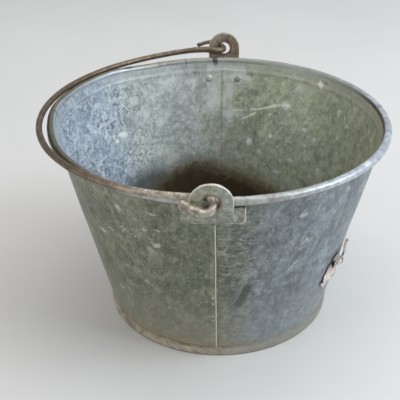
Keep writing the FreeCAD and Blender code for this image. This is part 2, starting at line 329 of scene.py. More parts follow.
# ---- wall ---------------------------------------------------------------
CURL_STEPS = 30
CURL_TURN = math.radians(292.0)
WALL_LOW = 1.3
WALL_COLUMNS = 361
WALL_GAP = 0.018                # degrees left free at each lock seam
OUTSIDE, INSIDE, BEAD = 0, 1, 2


def curl_point(radius, angle):
    return BEAD_R + radius * math.cos(angle), RIM_Z + radius * math.sin(angle)


def wall_stations():
    """Radius and height on the outer face and on the inner, foot to curl."""
    z_bend = Z_TANGENT - (R_TANGENT - FOOT_R) / TAN
    foot = (FOOT_R, WALL_LOW, FOOT_R - SHEET, WALL_LOW)
    bend = (FOOT_R, z_bend, FOOT_R - SHEET, z_bend - SHEET * math.tan(SLOPE / 2))
    curl_start = math.pi - SLOPE
    top = (R_TANGENT, Z_TANGENT, *curl_point(CURL_R + SHEET, curl_start))
    stations = [between(foot, bend, t) for t in np.linspace(0, 1, 5)[:-1]]
    stations += [between(bend, top, t) for t in np.linspace(0, 1, 140)]
    for t in np.linspace(0, 1, CURL_STEPS + 1)[1:]:
        a = curl_start - t * CURL_TURN
        stations.append((*curl_point(CURL_R, a), *curl_point(CURL_R + SHEET, a)))
    return stations


def build_wall(name, start, end):
    """One half of the wall, both faces, with its half of the curled rim."""
    stations = wall_stations()
    count = len(stations)
    first_curl = count - CURL_STEPS
    verts, bearings, heights, crowns, outers = [], [], [], [], []
    for b in np.linspace(start + WALL_GAP, end - WALL_GAP, WALL_COLUMNS):
        for i, (ro, zo, ri, zi) in enumerate(stations):
            z = min(zo, RIM_Z) if i < first_curl else RIM_Z
            d = dent(b, z)
            up = RIM_LIFT * rim_warp(b, z)
            crown = facing_out = 0.0
            if i < first_curl:
                # pressed line a little below the rim, seen inside
                groove = 0.55 * math.exp(-((zi - 190.5) / 1.2) ** 2)
                outer = around(ro + d * COS, b, zo - d * SIN + up)
                inner = around(ri + d * COS - groove, b, zi - d * SIN + up)
            else:
                lump = 0.16 * value_noise(around(ri, b, zi), 9.0, 2, 11.0)
                out = Vector((ri - BEAD_R, 0, zi - RIM_Z)).normalized()
                outer = around(ro + d, b, zo + up)
                inner = around(ri + d + lump * out.x, b, zi + lump * out.z + up)
                facing_out = smooth(0.0, 0.7, out.x)
                # 1 on top of the bead, 0 where it faces inwards or down
                crown = smooth(-0.95, -0.45, out.x) * smooth(-0.75, -0.10, out.z)
            verts += [outer, inner]
            bearings += [b, b]
            heights += [zo, zi]
            crowns += [crown, crown]
            outers += [facing_out, facing_out]
    stride = 2 * count
    last = (WALL_COLUMNS - 1) * stride
    strip_kinds = []
    for i in range(count - 1):
        strip_kinds += [OUTSIDE, BEAD if i >= first_curl - 2 else INSIDE]
    strip_kinds += [BEAD, OUTSIDE]
    faces, kinds = [], []
    for a in range(0, last, stride):
        n = a + stride
        faces += sheet_strip(a, n, count)
        faces.append((a, a + 1, n + 1, n))
        kinds += strip_kinds
    for first in (0, last):
        for a in range(first, first + stride - 2, 2):
            faces.append((a, a + 2, a + 3, a + 1))
            kinds.append(OUTSIDE)
    obj = make_object(name, verts, faces)
    obj.data.polygons.foreach_set("material_index", kinds)
    paint_wall(obj, bearings, heights, np.tile([False, True], len(verts) // 2))
    add_float(obj, "crown", crowns)
    add_float(obj, "outer", outers)
    fix_normals(obj)
    return obj


# ---- lock seams ---------------------------------------------------------
# Section of a seam: distance across it and height off the wall.
SEAM_SECTION = [
    (-4.0, -0.25), (-3.7, 0.1), (-3.3, 0.6), (-2.8, 1.05), (-2.0, 1.3), (-1.2, 1.4),
    (-0.4, 1.45), (0.4, 1.6), (1.0, 1.9), (1.5, 2.35), (2.0, 2.55), (2.4, 2.4),
    (2.7, 1.9), (2.85, 1.0), (3.0, 0.3), (3.3, -0.25),
]
INNER_SECTION = [
    (-2.9, -0.2), (-2.4, 0.1), (-1.6, 0.3), (-0.6, 0.36), (0.2, 0.12), (0.5, 0.1),
    (0.9, 0.3), (1.9, 0.3), (2.6, 0.12), (3.0, -0.2),
]
# Drips of zinc on the outside seam: distance across, height, size.
SEAM_DRIPS = [(-0.5, 83.0, 0.7), (-0.5, 75.0, 0.6), (-0.5, 58.0, 0.8), (-0.4, 52.0, 0.7),
              (-1.0, 101.0, 0.4), (-0.6, 40.0, 0.4), (1.5, 25.0, 0.6)]


def outer_seam_point(across, height, p):
    """Where a point of the outside seam lies: distance across, height."""
    side = 0.22 * value_noise(p, 26.0, 2, 5.0)
    rise = 0.10 * value_noise(p, 7.0, 2, 9.0) if height > 0.2 else 0.0
    ends = smooth(9.0, 14.0, p.z) * (1 - 0.5 * smooth(172.5, 174.5, p.z))
    high = height * ends + rise
    for middle, level, size in SEAM_DRIPS:
        high += size * math.exp(-((across - middle) / 1.3) ** 2 - ((p.z - level) / 2.2) ** 2)
    return across + side, high


def inner_seam_point(across, height, p):
    """The same for the low solder line inside, where heights count inwards."""
    wide = across * (1 + 0.18 * value_noise(p, 14.0, 2, 2.0))
    rise = 0.06 * value_noise(p, 5.0, 2, 4.0) if height > 0 else 0.0
    return wide, -height - rise


def build_seam(name, centre, rows, section, offset, place_point, inside):
    """Sweep a section up the wall, which place_point makes uneven."""
    rings, bearings = [], []
    for z in rows:
        r = cone_r(z, offset)
        ring = []
        for across, height in section:
            side, high = place_point(across, height, Vector((across, centre, z)))
            bearings.append(centre + math.degrees(side / r))
            ring.append(off_wall(r, bearings[-1], z, high))
        rings.append(ring)
    obj = make_tube(name, rings)
    paint_wall(obj, bearings, np.repeat(rows, len(section)), inside)
    return obj


def build_outer_seam(name, centre):
    rows = np.arange(9.5, 174.31, 0.9)
    obj = build_seam(name, centre, rows, SEAM_SECTION, 0.0, outer_seam_point, False)
    # painted highlight along the seam's edges, strongest on the edge facing right
    edge_highlight = [max(math.exp(-((across - 2.15) / 0.42) ** 2),
                0.35 * math.exp(-((across + 3.3) / 0.35) ** 2)) for across, _ in SEAM_SECTION]
    add_float(obj, "edge_highlight", edge_highlight * len(rows))
    return obj


def build_inner_seam(name, centre):
    rows = np.arange(11.0, 194.0, 1.2)
    return build_seam(name, centre, rows, INNER_SECTION, -SHEET, inner_seam_point, True)


# ---- bottom -------------------------------------------------------------
BOTTOM_BEND = 2.6
HEM_GAP = 0.3
FLANGE_R = FOOT_R - SHEET - HEM_GAP
HEM_EDGE = 1.2
HEM_TOP = 8.2
BOTTOM_STEPS = 300


def bottom_path():
    """Radius and height on the upper face and on the lower, middle to hem."""
    hem_in = FOOT_R + HEM_GAP
    hem_out = hem_in + SHEET
    bend_r = FLANGE_R - BOTTOM_BEND - SHEET
    bend_z = BOTTOM_Z - BOTTOM_BEND - SHEET
    path = [(r, BOTTOM_Z, r, BOTTOM_Z - SHEET) for r in np.linspace(2.0, bend_r, 34)]
    for a in np.radians(np.linspace(90, 0, 8)[1:]):
        c, s = math.cos(a), math.sin(a)
        path.append((bend_r + (BOTTOM_BEND + SHEET) * c, bend_z + (BOTTOM_BEND + SHEET) * s,
                     bend_r + BOTTOM_BEND * c, bend_z + BOTTOM_BEND * s))
    middle = (hem_out + FLANGE_R - SHEET) / 2
    outer = (hem_out - FLANGE_R + SHEET) / 2
    inner = outer - SHEET
    for degrees in np.linspace(180, 360, 13):
        c, s = math.cos(math.radians(degrees)), math.sin(math.radians(degrees))
        # the hem's foot is worn flat between two rounded edges
        side = 0.0 if abs(degrees - 270) < 1 else math.copysign(outer - HEM_EDGE, c)
        round_off = HEM_EDGE * c if side else 0.0
        path.append((middle + inner * c, outer + inner * s,
                     middle + side + round_off, HEM_EDGE + HEM_EDGE * s))
    path += [(hem_in, z, hem_out, z) for z in np.linspace(outer, HEM_TOP, 5)[1:]]
    path.append((hem_in + 0.2, HEM_TOP + 0.25, hem_out - 0.2, HEM_TOP + 0.25))
    return path


def build_bottom(name):
    """Disc, bend, flange and hem: one sheet turned about the axis."""
    path = bottom_path()
    verts, faces = [], []
    for b in turn_steps(BOTTOM_STEPS, 360.0):
        for ra, za, rb, zb in path:
            p = around(ra, b, za)
            wave = edge = 0.0
            if ra < FLANGE_R - 6:
                wave = 0.35 * value_noise(p, 42.0, 2, 6.0)
            if ra > FOOT_R and za > 1.5:
                edge = 0.18 * value_noise(p, 16.0, 2, 8.0)
            verts += [around(ra + edge, b, za + wave), around(rb + edge, b, zb + wave)]
    centre = len(verts)
    verts += [Vector((0, 0, BOTTOM_Z)), Vector((0, 0, BOTTOM_Z - SHEET))]
    stride = 2 * len(path)
    for k in range(BOTTOM_STEPS):
        a, n = k * stride, (k + 1) % BOTTOM_STEPS * stride
        faces += sheet_strip(a, n, len(path))
        faces += [(a, centre, n), (a + 1, n + 1, centre + 1)]
    obj = make_object(name, verts, faces)
    fix_normals(obj)
    return obj


def build_ring(name, section, lumps, seed, steps=360):
    """A closed bead of solder or zinc running all round the pail."""
    cr = sum(r for r, _ in section) / len(section)
    cz = sum(z for _, z in section) / len(section)
    rings = []
    for b in turn_steps(steps, 360.0):
        ring = []
        for r, z in section:
            grow = 1.0 + lumps * value_noise(around(r, b, z), 8.0, 2, seed)
            ring.append(around(cr + (r - cr) * grow, b, cz + (z - cz) * grow))
        rings.append(ring)
    return make_tube(name, rings, closed=True)


def build_rim_wire(name, steps=360, count=14, radius=2.9):
    """The wire in the bead, following the bead where it is out of true."""
    rings = []
    for b in turn_steps(steps, 360.0):
        cr = BEAD_R + dent(b, RIM_Z)
        cz = RIM_Z + RIM_LIFT * rim_warp(b, RIM_Z)
        rings.append([around(cr + radius * math.cos(a), b, cz + radius * math.sin(a))
                      for a in turn_steps(count)])
    return make_tube(name, rings, closed=True)


# ---- bail ---------------------------------------------------------------
BAIL_R = 3.0
# The hooks, from their tips: x, distance from the pail's axis, height above
# the rim.
HOOK = [
    (-23.0, 187.4, 11.6), (-17.8, 187.7, 8.9), (-12.2, 187.8, 6.4), (-6.8, 187.3, 4.6),
    (-2.2, 185.7, 4.3), (0.9, 182.9, 5.9), (2.0, 179.0, 7.7), (1.4, 175.2, 8.8),
    (-1.3, 172.1, 9.2), (-6.2, 170.2, 9.1),
]
BACK_HOOK = [
    (-30.0, 187.0, 11.0), (-23.5, 187.4, 12.8), (-17.8, 187.7, 13.6), (-12.4, 187.8, 13.1),
    (-7.8, 187.3, 11.6), (-4.4, 185.7, 10.0), (-1.9, 182.9, 8.8), (-1.0, 179.0, 8.2),
    (-2.2, 175.2, 8.6), (-4.5, 172.3, 9.1), (-9.0, 170.2, 9.1),
]
# The loop between them: degrees from -X towards the back, distance, height.
LOOP = [
    (-84.5, 169.9, 8.7), (-79, 169.9, 8.1), (-72, 169.8, 7.3), (-64, 170.0, 6.7),
    (-54, 170.6, 6.3), (-42, 171.4, 6.3), (-28, 172.2, 6.3), (-14, 172.2, 6.3),
    (0, 171.6, 6.3), (14, 170.8, 6.3), (28, 170.2, 6.3), (42, 170.2, 6.5),
    (54, 170.4, 7.0), (64, 170.6, 8.0), (72, 170.6, 9.4), (79, 170.4, 10.6),
    (84.5, 170.2, 10.4),
]


def bail_knots():
    front = [Vector((x, -math.sqrt(r * r - x * x), RIM_Z + h)) for x, r, h in HOOK]
    loop = [around(r, -90.0 - degrees, RIM_Z + h) for degrees, r, h in LOOP]
    back = [Vector((x, math.sqrt(r * r - x * x), RIM_Z + h)) for x, r, h in BACK_HOOK]
    return front + loop + back[::-1]


def curve_through(knots, spacing=1.1):
    """Points along a centripetal Catmull-Rom curve through the knots."""
    fine = []
    for i, (p1, p2) in enumerate(zip(knots, knots[1:])):
        m1 = m2 = p2 - p1
        t2 = (p2 - p1).length ** 0.5
        if i > 0:
            p0 = knots[i - 1]
            t1 = (p1 - p0).length ** 0.5
            m1 = ((p1 - p0) / t1 - (p2 - p0) / (t1 + t2) + (p2 - p1) / t2) * t2
        if i + 2 < len(knots):
            p3 = knots[i + 2]
            t3 = (p3 - p2).length ** 0.5
            m2 = ((p2 - p1) / t2 - (p3 - p1) / (t2 + t3) + (p3 - p2) / t3) * t2
        steps = max(4, int((p2 - p1).length / spacing))
        for t in (k / steps for k in range(steps)):
            fine.append(p1 * (2 * t ** 3 - 3 * t ** 2 + 1) + m1 * (t ** 3 - 2 * t ** 2 + t)
                        + p2 * (3 * t ** 2 - 2 * t ** 3) + m2 * (t ** 3 - t ** 2))
    fine.append(knots[-1])
    return fine


def hook_weight(p):
    """1 at either hook, 0 along the loop."""
    return smooth(-46.0, -14.0, p.x) * smooth(150.0, 165.0, abs(p.y))


def zinc_weight(p):
    """Where the wire still has its zinc: far along it at the front."""
    return smooth(-100.0, -40.0, p.x) if p.y < 0 else 0.10 * hook_weight(p)


def bail_ring(centre, t, normal, size, count=24):
    """One ring of the wire, across its direction t; the hooks are lumpy."""
    side = t.cross(normal)
    w = hook_weight(centre)
    ring = []
    for a in turn_steps(count):
        out = normal * math.cos(a) + side * math.sin(a)
        p = centre + out * BAIL_R
        outside_ear = smooth(181.0, 186.0, abs(p.y))
        lump = 0.07 * value_noise(p, 13.0, 2, 1.0) \
            + w * (0.24 * value_noise(p, 5.5, 3, 21.0) + 0.05)
        if p.y < 0:
            lump += 0.65 * w * outside_ear
        else:
            # thick where it passes the back ear, thin at its end
            lump += 0.50 * w - 1.5 * outside_ear * smooth(-10.0, -19.0, p.x)
        ring.append(centre + out * ((BAIL_R + lump) * size))
    return ring


def build_bail(name):
    path = curve_through(bail_knots())
    normal = Vector((0, 0, 1))
    rings, zinc = [], []
    last = len(path) - 1
    rounding = [(0.55, 0.93), (1.3, 0.72), (1.9, 0.42)]     # distance past an end, size
    for i, p in enumerate(path):
        t = (path[min(i + 1, last)] - path[max(i - 1, 0)]).normalized()
        normal = (normal - t * normal.dot(t)).normalized()
        stops = [(0.0, 1.0)]
        if i == 0:
            stops = [(-past, size) for past, size in reversed(rounding)] + stops
        elif i == last:
            stops += rounding
        for ahead, size in stops:
            centre = p + t * ahead
            ring = bail_ring(centre, t, normal, size)
            rings.append(ring)
            zinc += [zinc_weight(centre)] * len(ring)
    obj = make_tube(name, rings)
    add_float(obj, "hook", zinc)
    return obj


# ---- ears ---------------------------------------------------------------
EAR_RING_R = 11.5


def remeshed(source, name, voxel):
    """A copy of an object's mesh made of even voxels."""
    work = add_object(name + "_work", source.data.copy())
    work.data.materials.clear()
    remesh = work.modifiers.new("voxels", 'REMESH')
    remesh.mode = 'VOXEL'
    remesh.voxel_size = voxel * MM
    graph = bpy.context.evaluated_depsgraph_get()
    mesh = bpy.data.meshes.new_from_object(work.evaluated_get(graph))
    mesh.name = name
    bpy.data.objects.remove(work)
    return mesh


def cast_copy(node, name, voxel, rounds, lumps, seed):
    """The CAD node's own shape with the rounded look of a weathered casting, and its upper outer
    edges stored for a painted highlight.
    """
    mesh = remeshed(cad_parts[node], name, voxel)
    bm = bmesh.new()
    bm.from_mesh(mesh)
    for _ in range(rounds):
        soften(bm, 0.5)
    bm.normal_update()
    edge_highlight, hook = [], []
    for v in bm.verts:
        p = v.co / MM
        lump = lumps * (value_noise(p, 6.5, 3, seed) + 0.6 * value_noise(p, 15.0, 2, seed + 3))
        spread = math.hypot(p.x, p.z - PIVOT_Z)
        facing = (v.normal.x * p.x + v.normal.z * (p.z - PIVOT_Z)) / max(spread, 1.0)
        upper = smooth(-9.0, 0.0, p.z - PIVOT_Z)
        ring = math.exp(-((spread - EAR_RING_R) / 3.2) ** 2) * abs(v.normal.y)
        # painted highlight on the upper edges that face out from the hole
        edge_highlight.append(upper * smooth(0.25, 0.80, facing) * smooth(10.0, 13.0, spread))
        v.co += v.normal * (lump + 0.12 + 0.75 * ring * upper) * MM
        hook.append(smooth(10.0, 6.5, math.hypot(v.co.x / MM, v.co.z / MM - PIVOT_Z)))
    bm.to_mesh(mesh)
    bm.free()
    set_smooth(mesh)
    obj = add_object(name, mesh)
    add_float(obj, "hook", hook)
    add_float(obj, "edge_highlight", edge_highlight)
    return obj


# The ear plate's outline: half width, top, lower edge, corner radius.
PLATE_HALF, PLATE_TOP, PLATE_LOW, PLATE_CORNER = 26.6, 192.0, 174.4, 3.0


def build_plate_solder(name, centre, count=10):
    """Ragged line of solder round the ear's plate: side, bottom, side."""
    corner_z = PLATE_LOW + PLATE_CORNER
    corner_x = PLATE_HALF - PLATE_CORNER
    route = [(PLATE_HALF, z) for z in np.linspace(PLATE_TOP, corner_z, 14)]
    for a in np.radians(np.linspace(0, 90, 6)[1:]):
        route.append((corner_x + PLATE_CORNER * math.cos(a), corner_z - PLATE_CORNER * math.sin(a)))
    route += [(x, PLATE_LOW) for x in np.linspace(corner_x, 0, 20)[1:]]
    route += [(-x, z) for x, z in reversed(route[:-1])]
    rings, edge_highlight = [], []
    last = len(route) - 1
    for k, (x, z) in enumerate(route):
        bearing = centre + math.degrees(x / cone_r(z))
        ahead, behind = route[min(k + 1, last)], route[max(k - 1, 0)]
        along = Vector((ahead[0] - behind[0], ahead[1] - behind[1], 0)).normalized()
        sides = Vector((-along.y, along.x, 0))
        end = min(1.0, min(k, last - k) / 3.0)
        size = 1.05 * (0.35 + 0.65 * end) * (1.0 + 0.30 * value_noise((x, z, centre), 5.0, 2, 17.0))
        ring = []
        for a in turn_steps(count):
            step = sides * (math.cos(a) * size)
            high = 0.25 + math.sin(a) * size * 0.95
            level = z + step.y
            r = cone_r(level)
            ring.append(off_wall(r, bearing + math.degrees(step.x / r), level, high))
        rings.append(ring)
        # painted highlight, brightest on the plate's right side where the light falls
        edge_highlight += [0.95 if x > 20 else 0.45 if x > -20 else 0.25] * count
    obj = make_tube(name, rings)
    add_float(obj, "edge_highlight", edge_highlight)
    return obj


# ---- flaking paint on the right side ------------------------------------
# Outline of the patch: height and bearing, up its left and right edges.
FLAKE_LEFT = [(50, 57.5), (56, 54.5), (62, 53.4), (74, 54.8), (84, 57.2), (92, 61.5)]
FLAKE_RIGHT = [(50, 66), (57, 76), (64, 83), (70, 81), (76, 84), (83, 77), (88, 74), (92, 68)]
FLAKE_LOW, FLAKE_HIGH, FLAKE_WIDE = 50.0, 92.0, 66.0
FLAKE_START = 53.0              # bearing where the arc is counted from
FLAKE_STEP = 0.9
FLAKE_THICK = 0.22
SMALLEST_FLAKE = 14             # faces; smaller ones are dropped


def arc_from(edge, bearing, z):
    """Distance along the wall from one edge of the patch, in millimetres."""
    heights, bearings = zip(*edge)
    return math.radians(bearing - float(np.interp(z, heights, bearings))) * cone_r(z)


def flake_depth(arc, z):
    """How far inside the patch a point lies; below 0 there is no paint."""
    b = FLAKE_START + math.degrees(arc / cone_r(z))
    from_left = arc_from(FLAKE_LEFT, b, z)
    p = (arc, z, 0.0)
    ragged = 2.6 * value_noise(p, 7.0, 4, 31.0) \
        + 7.0 * value_noise(p, 19.0, 2, 61.0) * smooth(4.0, 16.0, from_left)
    d = ragged + min(from_left, -arc_from(FLAKE_RIGHT, b, z),
                     z - FLAKE_LOW - 1.5, FLAKE_HIGH - 3.0 - z)
    holes = value_noise(p, 11.0, 3, 40.0)
    return min(d, (0.50 - holes) * 12) if holes > 0.42 else d


def drop_crumbs(bm):
    """Delete the pieces of a mesh that have too few faces to be a flake."""
    seen, crumbs = set(), []
    for first in bm.faces:
        if first in seen:
            continue
        seen.add(first)
        island = [first]
        for face in island:                  # grows while it is walked through
            for other in (f for edge in face.edges for f in edge.link_faces):
                if other not in seen:
                    seen.add(other)
                    island.append(other)
        if len(island) < SMALLEST_FLAKE:
            crumbs += island
    bmesh.ops.delete(bm, geom=crumbs, context='FACES')


def build_flakes(name):
    """Thin ragged patch of old paint with lifted edges."""
    depth = {}
    for i, z in enumerate(np.arange(FLAKE_LOW, FLAKE_HIGH, FLAKE_STEP)):
        for j, arc in enumerate(np.arange(0.0, FLAKE_WIDE, FLAKE_STEP)):
            depth[i, j] = flake_depth(arc, z)
    verts, index, edges = [], {}, []

    def corner(i, j):
        """The vertex between four cells, made when it is first asked for."""
        if (i, j) not in index:
            z = FLAKE_LOW + (i - 0.5) * FLAKE_STEP
            arc = (j - 0.5) * FLAKE_STEP
            r = cone_r(z)
            b = FLAKE_START + math.degrees(arc / r)
            near = max(0, min(depth.get((i - di, j - dj), 0) for di in (0, 1) for dj in (0, 1)))
            curl = 0.25 + 1.2 * max(0.0, value_noise((arc, z, 0), 9.0, 2, 50))
            peeled = smooth(1.0, 12.0, arc_from(FLAKE_LEFT, b, z)) \
                * smooth(52.0, 62.0, z) * smooth(91.0, 80.0, z)
            high = 0.6 + 2.8 * math.exp(-near / 2.4) * curl + 3.4 * peeled + dent(b, z)
            index[i, j] = len(verts)
            verts.append(off_wall(r, b, z, high))
            edges.append(math.exp(-near / 1.6))
        return index[i, j]

    faces = [(corner(i, j), corner(i, j + 1), corner(i + 1, j + 1), corner(i + 1, j))
             for (i, j), d in depth.items() if d > 0]
    obj = make_object(name, verts, faces)
    add_float(obj, "edge", edges)
    bm = bmesh.new()
    bm.from_mesh(obj.data)
    drop_crumbs(bm)
    soften(bm, 0.35)
    bmesh.ops.recalc_face_normals(bm, faces=bm.faces)
    bmesh.ops.solidify(bm, geom=bm.faces, thickness=FLAKE_THICK * MM)
    bmesh.ops.recalc_face_normals(bm, faces=bm.faces)
    bm.to_mesh(obj.data)
    bm.free()
    set_smooth(obj.data, False)
    return obj


# ---- material helpers ---------------------------------------------------
class Nodes:
    """A material's node tree, with its colour so far in self.colour."""

    def __init__(self, name):
        self.material = bpy.data.materials.new(name)
        self.material.use_nodes = True
        self.tree = self.material.node_tree
        self.tree.nodes.clear()
        self.shader = self.add('ShaderNodeBsdfPrincipled')
        out = self.add('ShaderNodeOutputMaterial')
        self.link(self.shader.outputs['BSDF'], out.inputs['Surface'])
        self.coord = self.add('ShaderNodeTexCoord').outputs['Object']
        axes = self.add('ShaderNodeSeparateXYZ')
        self.link(self.coord, axes.inputs[0])
        self.x, self.y, self.height = axes.outputs
        self.colour = None

    def add(self, kind, **settings):
        node = self.tree.nodes.new(kind)
        for name, value in settings.items():
            setattr(node, name, value)
        return node

    def link(self, a, b):
        self.tree.links.new(a, b)

    def feed(self, socket, value):
        if isinstance(value, bpy.types.NodeSocket):
            self.link(value, socket)
        else:
            socket.default_value = value

    def put(self, node, **values):
        """Set or link a node's inputs; a _ in a name stands for a space."""
        for name, value in values.items():
            self.feed(node.inputs[name.replace("_", " ")], value)

    def stretched(self, scale, rotation=(0, 0, 0), vector=None):
        m = self.add('ShaderNodeMapping')
        self.put(m, Vector=vector or self.coord, Scale=scale, Rotation=rotation)
        return m.outputs['Vector']

    def noise(self, scale, detail=4.0, rough=0.55, distortion=0.0, vector=None):
        m = self.add('ShaderNodeTexNoise')
        self.put(m, Vector=vector or self.coord, Scale=scale, Detail=detail,
                 Roughness=rough, Distortion=distortion)
        return m.outputs['Fac']

    def cells(self, scale, feature='F1', vector=None, output='Distance'):
        m = self.add('ShaderNodeTexVoronoi', feature=feature)
        self.put(m, Vector=vector or self.coord, Scale=scale)
        return m.outputs[output]

    def vector_math(self, operation, a, b):
        m = self.add('ShaderNodeVectorMath', operation=operation)
        self.feed(m.inputs[0], a)
        self.feed(m.inputs[1], b)
        return m.outputs[0]

    def warp(self, scale, amount):
        """Coordinates pushed about by noise, amount in metres."""
        m = self.add('ShaderNodeTexNoise')
        self.put(m, Vector=self.coord, Scale=scale, Detail=3.0)
        push = self.vector_math('SUBTRACT', m.outputs['Color'], (0.5, 0.5, 0.5))
        return self.vector_math('ADD', self.coord, self.vector_math('MULTIPLY', push, (amount,) * 3))

    def span(self, value, low, high, to_low=0.0, to_high=1.0):
        """A soft step of value from low to high."""
        m = self.add('ShaderNodeMapRange', interpolation_type='SMOOTHSTEP')
        self.put(m, Value=value, From_Min=low, From_Max=high, To_Min=to_low, To_Max=to_high)
        return m.outputs['Result']

    def math(self, operation, a, b=0.0, clamp=False):
        m = self.add('ShaderNodeMath', operation=operation, use_clamp=clamp)
        self.feed(m.inputs[0], a)
        self.feed(m.inputs[1], b)
        return m.outputs[0]

    def times(self, a, b):
        return self.math('MULTIPLY', a, b)

    def wobble(self, value, noise_value, amount):
        """A soft mask with its edge broken up by noise."""
        return self.math('ADD', value, self.times(
            self.math('SUBTRACT', noise_value, 0.5), amount))

    def stored(self, name):
        """A mask stored on the mesh."""
        return self.add('ShaderNodeAttribute', attribute_name=name).outputs['Fac']

    def ragged(self, name, noise_value, amount, low, high):
        """A stored mask, made crisp between low and high, with a broken edge."""
        return self.span(self.wobble(self.stored(name), noise_value, amount), low, high)

    def mix(self, factor, a, b, blend='MIX'):
        m = self.add('ShaderNodeMix', data_type='RGBA', blend_type=blend, clamp_factor=True)
        self.put(m, Factor=factor)
        for socket, value in ((m.inputs[6], a), (m.inputs[7], b)):
            self.feed(socket, (*value, 1.0) if isinstance(value, tuple) else value)
        return m.outputs[2]

    def ramp(self, value, *stops):
        r = self.add('ShaderNodeValToRGB')
        self.link(value, r.inputs['Fac'])
        elements = r.color_ramp.elements
        while len(elements) < len(stops):
            elements.new(0.5)
        for element, (position, colour) in zip(elements, stops):
            element.position = position
            element.color = (*colour, 1.0)
        return r.outputs['Color']

    def coat(self, tone, mask, amount=1.0):
        """Lay tone over the colour so far, as thick as mask times amount."""
        if amount != 1.0:
            mask = self.times(mask, amount)
        self.colour = self.mix(mask, self.colour, tone)

    def tint(self, tone, value, low, high, amount):
        """Lay tone over the colour so far, more as value goes from low to high."""
        self.coat(tone, self.span(value, low, high, 0.0, amount))

    def spangle(self, scale, vector, low, high, factor):
        """Patches of slightly different brightness, like zinc crystals."""
        grey = self.add('ShaderNodeRGBToBW')
        self.link(self.cells(scale, output='Color', vector=vector), grey.inputs[0])
        self.shade(self.span(grey.outputs[0], 0.25, 0.75, low, high), factor)

    def shade(self, tone, factor):
        """Lighten the colour so far where tone is over a half, darken it elsewhere."""
        self.colour = self.mix(factor, self.colour, self.mix(1.0, tone, tone), 'OVERLAY')

    def finish(self, roughness, metallic, *bumps, specular=0.5):
        """Fill in the shader; a bump is a height, a strength and a distance."""
        normal = None
        for height, strength, distance in bumps:
            m = self.add('ShaderNodeBump')
            self.put(m, Height=height, Strength=strength, Distance=distance)
            if normal:
                self.put(m, Normal=normal)
            normal = m.outputs['Normal']
        self.put(self.shader, Base_Color=self.colour, Roughness=roughness, Metallic=metallic,
                 Normal=normal, Specular_IOR_Level=specular)
        return self.material


# Colours, linear RGB
OLIVE_DARK = (0.078, 0.085, 0.056)
OLIVE_MID = (0.188, 0.197, 0.138)
OLIVE_PALE = (0.385, 0.395, 0.310)
BLUE_DARK = (0.105, 0.123, 0.137)
BLUE_MID = (0.218, 0.254, 0.278)
BLUE_PALE = (0.420, 0.475, 0.512)
OXIDE = (0.62, 0.65, 0.60)
DARK_TONE_AND_SHADE = (0.045, 0.050, 0.043)
TAN_DUST = (0.410, 0.340, 0.228)
RUST_DARK = (0.034, 0.018, 0.008)
RUST = (0.150, 0.075, 0.030)


